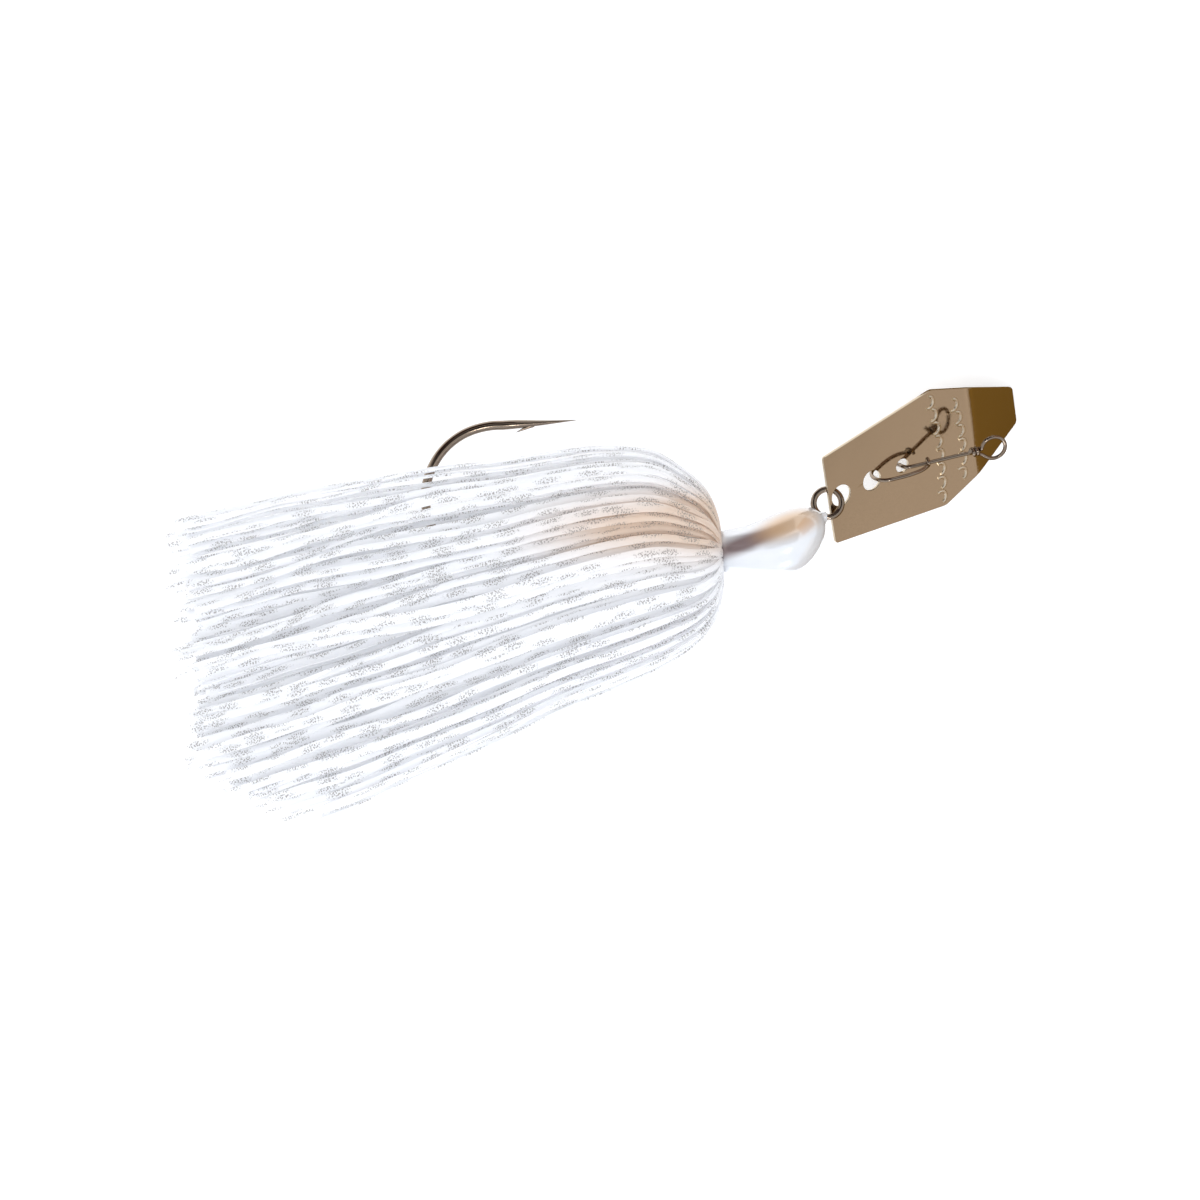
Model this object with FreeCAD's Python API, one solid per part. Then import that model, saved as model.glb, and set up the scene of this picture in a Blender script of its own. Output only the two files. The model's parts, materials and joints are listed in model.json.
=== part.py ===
import FreeCAD, Part
import math
import os

from FreeCAD import Vector

# A bladed swim jig lying on its side. Lengths are in millimetres.
# The model is drawn about the centre of the hook's eye: +X runs along the shank towards the
# nose, +Y towards the hook's point, +Z up from the table. It is moved at the end so that the
# origin is the bottom centre of its box.

# Hook: forged carbon-steel wire, 5/0, jig bend
EYE_RADIUS = 2.12            # centre line of the eye ring
EYE_WIRE = 0.48              # radius of the wire in the eye, which is forged thinner
HOOK_WIRE = 0.72             # radius of the wire in shank and bend
SHANK_Y = -6.5
SHANK_FRONT_X = -4.2
BEND_X = -49.9
BEND_RADIUS = 10.85
POINT_X = -37.0
TAPER_START_X = -46.6
TIP_WIRE = 0.06
NECK = (-0.62, -1.78)        # where the shank's wire meets the eye
BARB_LENGTH = 3.0
BARB_RISE = 1.25
BARB_TIP_X = 0.3             # the barb's tip and its heel, past the start of the taper
BARB_HEEL_X = 1.3
BARB_SUNK = 0.2              # how far below the wire's centre line the barb is rooted
BARB_HALF_THICK = 0.28

# Head: cast lead, keel heavy, as (x, centre height, radius) from the tail to the nose
HEAD_SECTIONS = [(-16.5, -6.2, 3.25), (-15.0, -6.3, 3.45), (-13.5, -6.38, 3.72), (-11.8, -6.42, 4.1),
                 (-9.8, -6.3, 4.7), (-7.9, -6.0, 5.1), (-6.3, -5.65, 5.27), (-5.0, -5.28, 5.17),
                 (-3.8, -4.85, 4.75), (-2.8, -4.45, 4.15), (-1.9, -4.05, 3.35), (-1.2, -3.7, 2.45),
                 (-0.75, -3.45, 1.5)]
NOSE = (-0.45, -3.3, 0)
KEEPER_RADIUS = 2.0
KEEPER_END_X = -22.6
KEEPER_LIP = 0.05
LIP_LENGTH = 0.6
LIP_TAPER = 0.3
BOSS_START = (-2.4, -3.5)    # a cone of paint and lead that runs up to the eye
BOSS_DIRECTION = (0.75, 0.66)
BOSS_RADII = (1.9, 0.95)
BOSS_LENGTH = 2.4

# Collar: silicone band round the skirt
COLLAR_FRONT_X = -18.9
COLLAR_REAR_X = -21.6
COLLAR_INNER = 3.62
COLLAR_WALL = 1.0
COLLAR_ROUND = 0.4

# Blade: stamped steel sheet, as half widths along its axis from the rear edge
BLADE_THICK = 0.5
BLADE_REAR_HALF = 7.5
BLADE_WIDE_HALF = 10.2
BLADE_WIDE_U = 20.9
BLADE_FOLD_HALF = 7.6
BLADE_FOLD_U = 27.7
BLADE_FRONT_HALF = 3.1
BLADE_FRONT_U = 37.1
BLADE_FOLD_DEG = 9.5
BLADE_CORNER = 0.7
EYE_HOLE = (2.25, 1.75)      # place along the axis, radius
SNAP_HOLE_REAR = (8.1, 1.65)
SNAP_HOLE_FRONT = (13.9, 1.15)
BLADE_HANG = Vector(2.05, 1.1, -0.37)    # centre of the rear hole, from the eye's centre
BLADE_AXIS = Vector(0.846, 0.341, -0.409)
BLADE_ACROSS = Vector(-0.098, 0.855, 0.509)

# Snap: one spring wire, with its line ring turned square to its loop. It is placed by s along
# its length, t up from its loop's centre and w across, all from the bridge between two holes.
SNAP_WIRE = 0.30
SNAP_TILT_DEG = 22.9
SNAP_END_RADIUS = 2.5
SNAP_END_DEG = (90, 342)     # the rounded end, from the latch's root down and round
SNAP_SPINE_T = 0.10
SNAP_SPINE_S = 3.35
SNAP_NECK_S = 14.6
RING_RADIUS = 1.85
RING_S = SNAP_NECK_S + RING_RADIUS + 0.25
WRAP_TURNS = 2
WRAP_PITCH = 0.62
WRAP_LEAN = 0.12
TAIL_START = (-1.15, 0.5, 0.2)      # from the neck, as (s, t, w)
TAIL_END = (-1.8, 0.95, 0.75)
LATCH_S = 6.3
LATCH_ROOT_S = 0.9
LATCH_BENDS = ((3.6, 2.35), (5.4, 1.75))
LATCH_GAP = 0.05
CLASP_DEG = 190

# Skirt: flat silicone strands, banded near their middle, the front legs folded back
STRAND_WIDTH = 0.8
STRAND_THICK = 0.4
STRANDS_PER_LAYER = 14
ROOT_RADII = (2.3, 2.8, 3.3)
FOLD_SCALES = (1.0, 0.86, 0.72)
REAR_SCALES = (0.35, 0.46, 0.58)
PARTING_DEG = 13
REAR_PARTING_DEG = 38
DOME_X = -21.0
DOME_ROWS = ((3.8, 7.0), (2.5, 10.2), (-0.3, 13.3))    # how far forward, and the radius
DOME_FLARE = 4.0             # the folded leg turns outwards this far in front of DOME_X
TIP_X = -98.5
TIP_TURN_Y = -33.0           # below this the tips are cut back along a slanted line
TIP_SLOPE = 1.4
# x, half width in Y, middle in Y, then the half heights above and below in Z, and the sag
SKIRT_ROWS = [(-26.5, 16.6, -6.2, 16.6, 16.8, 0.0),
              (-34.0, 18.5, -7.1, 16.0, 16.9, 0.0),
              (-42.0, 19.6, -8.6, 15.0, 16.9, 0.0),
              (-50.0, 20.9, -10.5, 13.6, 16.9, 0.0),
              (-62.0, 22.9, -13.1, 11.5, 16.8, 0.0),
              (-74.0, 24.6, -15.7, 9.6, 14.3, -2.6),
              (-86.0, 25.6, -18.4, 7.6, 11.5, -5.4),
              (-103.0, 26.6, -22.0, 5.2, 8.0, -8.9)]


def rod(points, radius):
    """A round wire along straight runs, with a ball at each inner corner."""
    pieces = []
    for start, end in zip(points, points[1:]):
        run = end - start
        pieces.append(Part.makeCylinder(radius, run.Length, start, run))
    for corner in points[1:-1]:
        pieces.append(Part.makeSphere(radius, corner))
    return pieces


def arc_wire(centre, u, v, ring_radius, start_deg, end_deg, wire_radius):
    """A round wire along an arc from start to end, turning from u towards v."""
    def at(deg):
        a = math.radians(deg)
        return centre + u * (ring_radius * math.cos(a)) + v * (ring_radius * math.sin(a))
    path = Part.Wire(Part.Arc(at(start_deg), at((start_deg + end_deg) / 2), at(end_deg)).toShape())
    a = math.radians(start_deg)
    tangent = v * math.cos(a) - u * math.sin(a)
    profile = Part.Wire(Part.makeCircle(wire_radius, at(start_deg), tangent))
    return path.makePipeShell([profile], True, True)


def joined(pieces):
    return pieces[0].multiFuse(pieces[1:]).removeSplitter()


def one_solid(shape):
    return shape.Solids[0] if len(shape.Solids) == 1 else shape


def make_hook():
    up, right, out = Vector(0, 1, 0), Vector(1, 0, 0), Vector(0, 0, 1)
    eye = Part.makeTorus(EYE_RADIUS, EYE_WIRE, Vector(0, 0, 0), out)
    shank = rod([Vector(*NECK, 0), Vector(SHANK_FRONT_X, SHANK_Y, 0), Vector(BEND_X, SHANK_Y, 0)], HOOK_WIRE)
    centre = Vector(BEND_X, SHANK_Y + BEND_RADIUS, 0)
    bend = arc_wire(centre, up * -1, right * -1, BEND_RADIUS, 0, 180, HOOK_WIRE)
    top_y = SHANK_Y + 2 * BEND_RADIUS
    arm = rod([Vector(BEND_X, top_y, 0), Vector(TAPER_START_X, top_y, 0)], HOOK_WIRE)
    point = Part.makeCone(HOOK_WIRE, TIP_WIRE, POINT_X - TAPER_START_X,
                          Vector(TAPER_START_X, top_y, 0), right)
    root_y = top_y - BARB_SUNK
    barb_corners = [Vector(TAPER_START_X + x, y, -BARB_HALF_THICK)
                    for x, y in ((BARB_LENGTH, root_y), (BARB_TIP_X, top_y - BARB_RISE),
                                 (BARB_HEEL_X, root_y))]
    barb_side = Part.makePolygon(barb_corners + [barb_corners[0]])
    barb = Part.Face(barb_side).extrude(out * (2 * BARB_HALF_THICK))
    return one_solid(joined([eye] + shank + [bend] + arm + [point, barb]))


def make_head(hook):
    forward = Vector(1, 0, 0)
    rings = []
    for x, y, radius in HEAD_SECTIONS:
        rings.append(Part.Wire(Part.makeCircle(radius, Vector(x, y, 0), forward)))
    nose = Part.Vertex(*NOSE)
    body = Part.makeLoft(rings + [nose], True, False)
    tail_x = HEAD_SECTIONS[0][0]
    keeper = Part.makeCylinder(KEEPER_RADIUS, tail_x - KEEPER_END_X + 0.5,
                               Vector(KEEPER_END_X, SHANK_Y, 0), forward)
    lip = Part.makeCone(KEEPER_RADIUS - LIP_TAPER, KEEPER_RADIUS + KEEPER_LIP, LIP_LENGTH,
                        Vector(KEEPER_END_X, SHANK_Y, 0), forward)
    boss = Part.makeCone(*BOSS_RADII, BOSS_LENGTH, Vector(*BOSS_START, 0),
                         Vector(*BOSS_DIRECTION, 0))
    solid = joined([body, keeper, lip, boss])
    return one_solid(solid.cut(hook))


def make_collar():
    start = Vector(COLLAR_REAR_X, SHANK_Y, 0)
    length = COLLAR_FRONT_X - COLLAR_REAR_X
    forward = Vector(1, 0, 0)
    band = Part.makeCylinder(COLLAR_INNER + COLLAR_WALL, length, start, forward)
    band = band.makeFillet(COLLAR_ROUND, [e for e in band.Edges if isinstance(e.Curve, Part.Circle)])
    return band.cut(Part.makeCylinder(COLLAR_INNER, length + 2, start - forward, forward))


def blade_frame():
    """The blade's origin (middle of its rear edge) and its three directions."""
    along = Vector(BLADE_AXIS).normalize()
    across = (BLADE_ACROSS - along * BLADE_ACROSS.dot(along)).normalize()
    normal = along.cross(across)
    return BLADE_HANG - along * EYE_HOLE[0], along, across, normal


def plate(outline, origin, along, across, normal):
    """A flat sheet on the blade's middle surface, from (u, v) corners."""
    points = [origin + along * u + across * v for u, v in outline]
    face = Part.Face(Part.makePolygon(points + [points[0]]))
    face.translate(normal * (-BLADE_THICK / 2))
    return face.extrude(normal * BLADE_THICK)


def make_blade():
    origin, along, across, normal = blade_frame()
    main = plate([(0, -BLADE_REAR_HALF), (BLADE_WIDE_U, -BLADE_WIDE_HALF),
                  (BLADE_FOLD_U, -BLADE_FOLD_HALF), (BLADE_FOLD_U, BLADE_FOLD_HALF),
                  (BLADE_WIDE_U, BLADE_WIDE_HALF), (0, BLADE_REAR_HALF)],
                 origin, along, across, normal)
    fold = origin + along * BLADE_FOLD_U
    facet_length = BLADE_FRONT_U - BLADE_FOLD_U
    facet = plate([(0, -BLADE_FOLD_HALF), (facet_length, -BLADE_FRONT_HALF),
                   (facet_length, BLADE_FRONT_HALF), (0, BLADE_FOLD_HALF)],
                  fold, along, across, normal)
    facet.rotate(fold, across, BLADE_FOLD_DEG)
    round_fold = Part.makeCylinder(BLADE_THICK / 2, 2 * BLADE_FOLD_HALF,
                                   fold - across * BLADE_FOLD_HALF, across)
    sheet = main.fuse([facet, round_fold])
    corners = []
    for edge in sheet.Edges:
        if not isinstance(edge.Curve, Part.Line) or abs(edge.Length - BLADE_THICK) > 0.01:
            continue
        local = edge.CenterOfMass - origin
        u = local.dot(along)
        if u < 1 or abs(u - BLADE_WIDE_U) < 1 or u > BLADE_FRONT_U - 2:
            corners.append(edge)
    sheet = sheet.makeFillet(BLADE_CORNER, corners)
    for u, radius in (EYE_HOLE, SNAP_HOLE_REAR, SNAP_HOLE_FRONT):
        drill = Part.makeCylinder(radius, 4, origin + along * u - normal * 2, normal)
        sheet = sheet.cut(drill)
    return one_solid(sheet)


def snap_axes():
    """Bridge centre between the snap's two holes, then the snap's s, t and w directions."""
    origin, along, across, normal = blade_frame()
    bridge_u = (SNAP_HOLE_REAR[0] + SNAP_HOLE_REAR[1]
                + SNAP_HOLE_FRONT[0] - SNAP_HOLE_FRONT[1]) / 2
    tilt = math.radians(SNAP_TILT_DEG)
    length = along * math.cos(tilt) + normal * math.sin(tilt)
    height = normal * math.cos(tilt) - along * math.sin(tilt)
    return origin + along * bridge_u, length, height, across


def on_snap(along_s, along_t, along_w=0.0):
    centre, s, t, w = snap_axes()
    return centre + s * along_s + t * along_t + w * along_w


def make_snap():
    centre, s, t, w = snap_axes()
    end_turn = arc_wire(centre, s, t, SNAP_END_RADIUS, *SNAP_END_DEG, SNAP_WIRE)
    leave_angle = math.radians(SNAP_END_DEG[1])
    leave = on_snap(SNAP_END_RADIUS * math.cos(leave_angle),
                    SNAP_END_RADIUS * math.sin(leave_angle))
    neck = on_snap(SNAP_NECK_S + SNAP_WIRE, SNAP_SPINE_T)
    spine = rod([leave, on_snap(SNAP_SPINE_S, SNAP_SPINE_T), neck], SNAP_WIRE)
    ball = Part.makeSphere(SNAP_WIRE, leave)
    ring = Part.makeTorus(RING_RADIUS, SNAP_WIRE, on_snap(RING_S, SNAP_SPINE_T), t)
    root_run = rod([on_snap(0, SNAP_END_RADIUS),
                    on_snap(LATCH_ROOT_S - SNAP_WIRE - 0.02, SNAP_END_RADIUS)], SNAP_WIRE)
    wraps = []
    for turn in range(WRAP_TURNS):
        place = on_snap(SNAP_NECK_S - 0.5 - turn * WRAP_PITCH, SNAP_SPINE_T)
        wraps.append(Part.makeTorus(2 * SNAP_WIRE - 0.06, SNAP_WIRE, place, s + w * WRAP_LEAN))
    tail_points = [on_snap(SNAP_NECK_S + a, SNAP_SPINE_T + b, c)
                   for a, b, c in (TAIL_START, TAIL_END)]
    tail = rod(tail_points, SNAP_WIRE * 0.95)
    return one_solid(joined([end_turn] + spine + [ball, ring] + root_run + wraps + tail))


def make_latch():
    centre, s, t, w = snap_axes()
    root = on_snap(LATCH_ROOT_S, SNAP_END_RADIUS)
    clasp_radius = 2 * SNAP_WIRE + LATCH_GAP
    top = on_snap(LATCH_S, SNAP_SPINE_T + clasp_radius)
    arm = rod([root] + [on_snap(*bend) for bend in LATCH_BENDS] + [top], SNAP_WIRE)
    balls = [Part.makeSphere(SNAP_WIRE, root), Part.makeSphere(SNAP_WIRE, top)]
    clasp = arc_wire(on_snap(LATCH_S, SNAP_SPINE_T), t, w, clasp_radius, 0, CLASP_DEG, SNAP_WIRE)
    return one_solid(joined(arm + balls + [clasp]))


def envelope(x):
    """Half width, centre, upper and lower half heights and sag of the skirt at x."""
    for near, far in zip(SKIRT_ROWS, SKIRT_ROWS[1:]):
        if x >= far[0]:
            break
    part = (x - near[0]) / (far[0] - near[0])
    return [a + (b - a) * part for a, b in zip(near[1:], far[1:])]


def on_envelope(x, scale, angle):
    half_y, centre_y, up, down, sag = envelope(x)
    half_z = up if math.sin(angle) > 0 else down
    place = Vector(x, centre_y + scale * half_y * math.cos(angle),
                   sag + scale * half_z * math.sin(angle))
    side = Vector(0, -half_y * math.sin(angle), half_z * math.cos(angle))
    return place, side.normalize()


def on_round(x, radius, angle):
    place = Vector(x, SHANK_Y + radius * math.cos(angle), radius * math.sin(angle))
    return place, Vector(0, -math.sin(angle), math.cos(angle))


def leg_tip_x(scale, angle, number):
    """Tips lie on one line, a little ragged, that slants forward at the keel side."""
    y = on_envelope(-90, scale, angle)[0].y
    ragged = 1.6 * math.sin(2.4 * number) + 1.1 * math.sin(5.1 * number + 1)
    return TIP_X - TIP_SLOPE * min(y - TIP_TURN_Y, 0) + ragged


def strand_stations(layer, step):
    """Points and side directions of one strand, from its rear tip to its folded tip."""
    turn = (360 - 2 * PARTING_DEG) / STRANDS_PER_LAYER
    degrees = PARTING_DEG + turn * (step + (layer + 0.5) / len(ROOT_RADII))
    squeeze = (180 - REAR_PARTING_DEG) / (180 - PARTING_DEG)
    front = math.radians(degrees)
    rear = math.radians(180 + (degrees - 180) * squeeze)
    root = ROOT_RADII[layer]
    fold = FOLD_SCALES[layer]
    scale = REAR_SCALES[layer]
    number = step * len(ROOT_RADII) + layer
    stations = []
    tip = leg_tip_x(scale, rear, number + 50) + 2
    for x in [tip] + [row[0] for row in reversed(SKIRT_ROWS) if tip + 4 < row[0] <= -34]:
        stations.append(on_envelope(x, scale, rear))
    stations.append(on_round(-25.6, root + 0.5 + 0.9 * layer, 0.6 * front + 0.4 * rear))
    stations.append(on_round(COLLAR_REAR_X - 0.3, root, front))
    stations.append(on_round(COLLAR_FRONT_X + 0.1, root, front))
    dome_front = DOME_X + DOME_FLARE * fold
    stations.append(on_round(dome_front - 0.4, root + 0.45, front))
    stations.append(on_round(dome_front, root + 1.5, front))
    for forward, radius in DOME_ROWS:
        stations.append(on_round(DOME_X + forward * fold, radius * fold, front))
    tip = leg_tip_x(fold, front, number)
    for x in [row[0] for row in SKIRT_ROWS if row[0] > tip + 4] + [tip]:
        stations.append(on_envelope(x, fold, front))
    return stations


def make_strand(layer, step):
    stations = strand_stations(layer, step)
    points = [place for place, side in stations]
    sections = []
    for i, (place, side) in enumerate(stations):
        before = (place - points[i - 1]).normalize() if i else None
        after = (points[i + 1] - place).normalize() if i + 1 < len(points) else None
        heading = (before + after) if before and after else (before or after)
        heading = heading.normalize()
        across = (side - heading * side.dot(heading)).normalize() * (STRAND_WIDTH / 2)
        lift = heading.cross(across).normalize() * (STRAND_THICK / 2)
        corners = [place - across - lift, place + across - lift,
                   place + across + lift, place - across + lift]
        sections.append(Part.makePolygon(corners + [corners[0]]))
    return Part.makeLoft(sections, True, True)


def build():
    hook = make_hook()
    nodes = {"hook": hook, "head": make_head(hook), "collar_band": make_collar(),
             "blade": make_blade(), "snap_wire": make_snap(), "snap_latch": make_latch()}
    for step in range(STRANDS_PER_LAYER):
        for layer in range(len(ROOT_RADII)):
            number = step * len(ROOT_RADII) + layer + 1
            nodes["skirt_strand_%02d" % number] = make_strand(layer, step)
    return nodes


def main():
    os.makedirs("parts", exist_ok=True)
    nodes = build()
    box = Part.makeCompound(list(nodes.values())).BoundBox
    shift = Vector(-(box.XMin + box.XMax) / 2, -(box.YMin + box.YMax) / 2, -box.ZMin)
    for name, shape in nodes.items():
        shape.translate(shift)
        shape.exportStep("parts/%s.step" % name)
    centre, s, t, w = snap_axes()
    print("box", box.XLength, box.YLength, box.ZLength, "eye centre", shift)
    print("snap pivot", centre + shift, "axis", w)
    print("latch root", on_snap(LATCH_ROOT_S, SNAP_END_RADIUS) + shift, "axis", t)
    print("line ring", on_snap(RING_S, SNAP_SPINE_T) + shift, "axis", t)


main()
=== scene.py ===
import json
import math
import random

import bmesh
import bpy
from mathutils import Matrix, Vector, noise


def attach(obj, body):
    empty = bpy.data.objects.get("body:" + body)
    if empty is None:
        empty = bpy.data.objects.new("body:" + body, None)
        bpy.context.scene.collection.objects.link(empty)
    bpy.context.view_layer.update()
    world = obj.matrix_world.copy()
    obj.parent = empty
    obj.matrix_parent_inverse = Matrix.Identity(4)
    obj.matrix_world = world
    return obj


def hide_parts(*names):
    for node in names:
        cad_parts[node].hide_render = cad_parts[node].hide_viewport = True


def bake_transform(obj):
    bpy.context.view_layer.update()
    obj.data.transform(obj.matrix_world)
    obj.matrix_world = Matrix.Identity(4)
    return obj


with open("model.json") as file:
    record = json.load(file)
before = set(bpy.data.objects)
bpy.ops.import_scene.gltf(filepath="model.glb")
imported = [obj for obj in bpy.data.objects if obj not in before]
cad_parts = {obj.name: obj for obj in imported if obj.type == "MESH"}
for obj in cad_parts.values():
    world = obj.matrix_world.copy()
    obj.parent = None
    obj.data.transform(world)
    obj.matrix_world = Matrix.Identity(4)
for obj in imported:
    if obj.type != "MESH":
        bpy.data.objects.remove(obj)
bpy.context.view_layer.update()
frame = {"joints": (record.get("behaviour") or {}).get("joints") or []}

# ---- Table, light and camera -------------------------------------------------------------
# A pale sweep under broad soft light, seen from straight above, with the lure turned four
# degrees on the table. Coloured boards, seen only in reflections, stand in for the room.
MM = 0.001
EYE = Vector(frame["joints"][0]["pos_m"])        # centre of the hook's eye
PICTURE_WIDTH = 181.8 * MM
PICTURE_MIDDLE = (-35.42 * MM, -12.24 * MM)      # from the eye
LENS = 135
SENSOR = 36
TABLE_TURN = math.radians(-4)


def linear(hex_code):
    """An sRGB hex colour as linear red, green, blue and alpha."""
    parts = [int(hex_code[i:i + 2], 16) / 255 for i in (0, 2, 4)]
    return [c / 12.92 if c <= 0.04045 else ((c + 0.055) / 1.055) ** 2.4 for c in parts] + [1]


def add_node(tree, kind, settings=None, links=None, **inputs):
    """A node of that kind, its settings, its input values by name and its incoming links."""
    node = tree.nodes.new(kind)
    for name, value in (settings or {}).items():
        setattr(node, name, value)
    for name, value in inputs.items():
        node.inputs[name.replace("_", " ")].default_value = value
    for name, source in (links or {}).items():
        tree.links.new(source, node.inputs[name])
    return node


def new_material(name, base, metallic, roughness, **sockets):
    """A Principled surface with its uniform values set on its own sockets."""
    material = bpy.data.materials.new(name)
    material.use_nodes = True
    shader = material.node_tree.nodes["Principled BSDF"]
    shader.inputs["Base Color"].default_value = linear(base)
    shader.inputs["Metallic"].default_value = metallic
    shader.inputs["Roughness"].default_value = roughness
    for key, value in sockets.items():
        shader.inputs[key.replace("_", " ")].default_value = value
    return material, material.node_tree, shader


def clear_selection():
    bpy.ops.object.select_all(action="DESELECT")


def apply_place():
    bpy.ops.object.transform_apply(location=True, rotation=True, scale=True)


def paint(piece, material):
    piece.data.materials.clear()
    piece.data.materials.append(material)


world = bpy.data.worlds.new("soft_studio")
bpy.context.scene.world = world
world.use_nodes = True
world.node_tree.nodes["Background"].inputs["Color"].default_value = linear("F4F7FC")
world.node_tree.nodes["Background"].inputs["Strength"].default_value = 0.78

clear_selection()
bpy.ops.mesh.primitive_plane_add(size=6, location=(0, 0, 0))
table = bpy.context.object
table.name = "table"
apply_place()
# Matte paint with a faint roller grain, 20 mm wide.
table_paint, tree, shader = new_material("matte_white_table", "FBFBFB", 0, 0.9)
shader.inputs["Emission Color"].default_value = linear("FFFFFF")
shader.inputs["Emission Strength"].default_value = 0.24
place = add_node(tree, "ShaderNodeTexCoord")
grain = add_node(tree, "ShaderNodeTexNoise", links={"Vector": place.outputs["Object"]},
                 Scale=1 / (20 * MM), Detail=3)
bump = add_node(tree, "ShaderNodeBump", links={"Height": grain.outputs["Fac"]},
                Strength=0.05, Distance=0.0001)
tree.links.new(bump.outputs["Normal"], shader.inputs["Normal"])
paint(table, table_paint)


def add_light(name, place, size, power, tint, glossy):
    """A square softbox that faces the lure; glossy says whether reflections show it."""
    bpy.ops.object.light_add(type="AREA", location=place)
    light = bpy.context.object
    light.name = name
    light.data.size = size
    light.data.energy = power
    light.data.color = linear(tint)[:3]
    light.rotation_euler = (-Vector(place)).to_track_quat("-Z", "Y").to_euler()
    light.visible_glossy = glossy


add_light("overhead_softbox", (-0.40, -0.36, 1.0), 0.8, 6.2, "FFFFFF", False)
add_light("far_softbox", (0.5, 0.7, 0.8), 0.5, 2.4, "FFFAF2", False)
add_light("near_window", (0.12, -0.95, 0.36), 0.16, 1.0, "EEF4FF", True)
add_light("strip_light", (0.05, -0.42, 0.95), 0.10, 0.5, "FFFFFF", True)


def add_board(name, centre, size, aim, colour):
    """A coloured board, facing its aim, that only shows in reflections."""
    clear_selection()
    bpy.ops.mesh.primitive_plane_add(size=1, location=centre)
    board = bpy.context.object
    board.name = name
    board.scale = (size[0], size[1], 1)
    board.rotation_euler = (Vector(aim) - Vector(centre)).to_track_quat("Z", "Y").to_euler()
    apply_place()
    material = bpy.data.materials.new(name)
    material.use_nodes = True
    tree = material.node_tree
    place = add_node(tree, "ShaderNodeTexCoord")
    patches = add_node(tree, "ShaderNodeTexNoise", links={"Vector": place.outputs["Object"]},
                       Scale=9, Detail=1)
    strength = add_node(tree, "ShaderNodeMapRange", links={"Value": patches.outputs["Fac"]},
                        From_Min=0.3, From_Max=0.7, To_Min=0.8, To_Max=1.12)
    glow = add_node(tree, "ShaderNodeEmission", Color=linear(colour),
                    links={"Strength": strength.outputs["Result"]})
    tree.links.new(glow.outputs[0], tree.nodes["Material Output"].inputs["Surface"])
    paint(board, material)
    board.visible_camera = False
    board.visible_diffuse = False
    board.visible_shadow = False
    board.visible_transmission = False


# the blade's plate looks towards the beige board, its nose towards the card on the table, the
# head's upper side towards the two brown boards, and level wires towards the hood overhead
CARD_PLACE = (EYE.x + 0.51, -0.13, 0.0002)
HEAD_PLACE = (0, 0, 0.02)
add_board("beige_board", (1.05, -0.66, 0.16), (1.1, 0.42), (0, 0, 0.1), "D3C4B8")
add_board("brown_card", CARD_PLACE, (1.0, 1.0), CARD_PLACE[:2] + (1,), "8A6C34")
add_board("dark_brown_board", (-0.28, 0.60, 0.44), (0.75, 0.70), HEAD_PLACE, "4E3B36")
add_board("tan_board", (0.55, 0.50, 0.44), (0.75, 0.70), HEAD_PLACE, "A87848")
add_board("dark_hood", (0, 0.17, 0.80), (0.8, 0.42), HEAD_PLACE, "3A3230")

bpy.ops.object.camera_add()
camera = bpy.context.object
camera.data.lens = LENS
camera.data.sensor_width = SENSOR
camera.data.clip_start = 0.01
camera.data.clip_end = 20
camera.location = (EYE.x + PICTURE_MIDDLE[0], EYE.y + PICTURE_MIDDLE[1],
                   EYE.z + PICTURE_WIDTH * LENS / SENSOR)
camera.rotation_euler = (0, 0, TABLE_TURN)
bpy.context.scene.camera = camera
bpy.context.scene.view_settings.view_transform = "Standard"

# ---- Hook --------------------------------------------------------------------------------
# A 5/0 jig hook of high carbon steel wire. The wire is drawn, its eye and bend are formed
# cold, the point is ground to a long needle with a barb cut up on the inside, and it is
# plated in black nickel.
SHANK_Y = -6.5
BEND_X = -49.9
BEND_RADIUS = 10.85
HOOK_WIRE = 0.72
EYE_RADIUS = 2.12
EYE_WIRE = 0.48
BEND_STEP = 15
EYE_STEP = 30
TAPER_RADII = [0.72, 0.71, 0.68, 0.55, 0.36, 0.19, 0.08, 0.03]
NECK_RADII = [0.46, 0.52, 0.62, 0.70, 0.72]
BARB_PLACE = (-45.0, -0.72)                      # x, and how far inside the wire's middle
BARB_RADII = (0.42, 0.02)
BARB_LENGTH = 2.9
BARB_HEADING = (-2.6, -1.0, 0)


def placed(x, y, z=0.0):
    """A point from millimetres about the hook's eye to metres in the row's frame."""
    return EYE + Vector((x, y, z)) * MM


def widened(radius, step):
    """A smooth wire cuts inside control points set step degrees apart on a circle."""
    return radius * 3 / (2 + math.cos(math.radians(step)))


def wire_piece(name, points, radii, sides=5, cyclic=False, order=4):
    """Round wire drawn as a curve with a bevel, then made a mesh with closed ends."""
    clear_selection()
    bpy.ops.curve.primitive_nurbs_path_add(location=(0, 0, 0))
    wire = bpy.context.object
    wire.name = name
    spline = wire.data.splines[0]
    spline.points.add(len(points) - len(spline.points))
    for knot, place, radius in zip(spline.points, points, radii):
        knot.co = (*place, 1)
        knot.radius = radius * MM
    spline.order_u = order
    spline.use_endpoint_u = not cyclic
    spline.use_cyclic_u = cyclic
    wire.data.resolution_u = 6
    wire.data.bevel_depth = 1
    wire.data.bevel_resolution = sides
    wire.data.use_fill_caps = True
    wire.data.twist_mode = "MINIMUM"
    bpy.ops.object.convert(target="MESH")
    wire = bpy.context.object
    bpy.ops.object.mode_set(mode="EDIT")
    bpy.ops.mesh.select_all(action="SELECT")
    bpy.ops.mesh.remove_doubles(threshold=1e-6)
    bpy.ops.mesh.normals_make_consistent(inside=False)
    bpy.ops.object.mode_set(mode="OBJECT")
    bpy.ops.object.shade_smooth_by_angle(angle=math.radians(50))
    return wire


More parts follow.
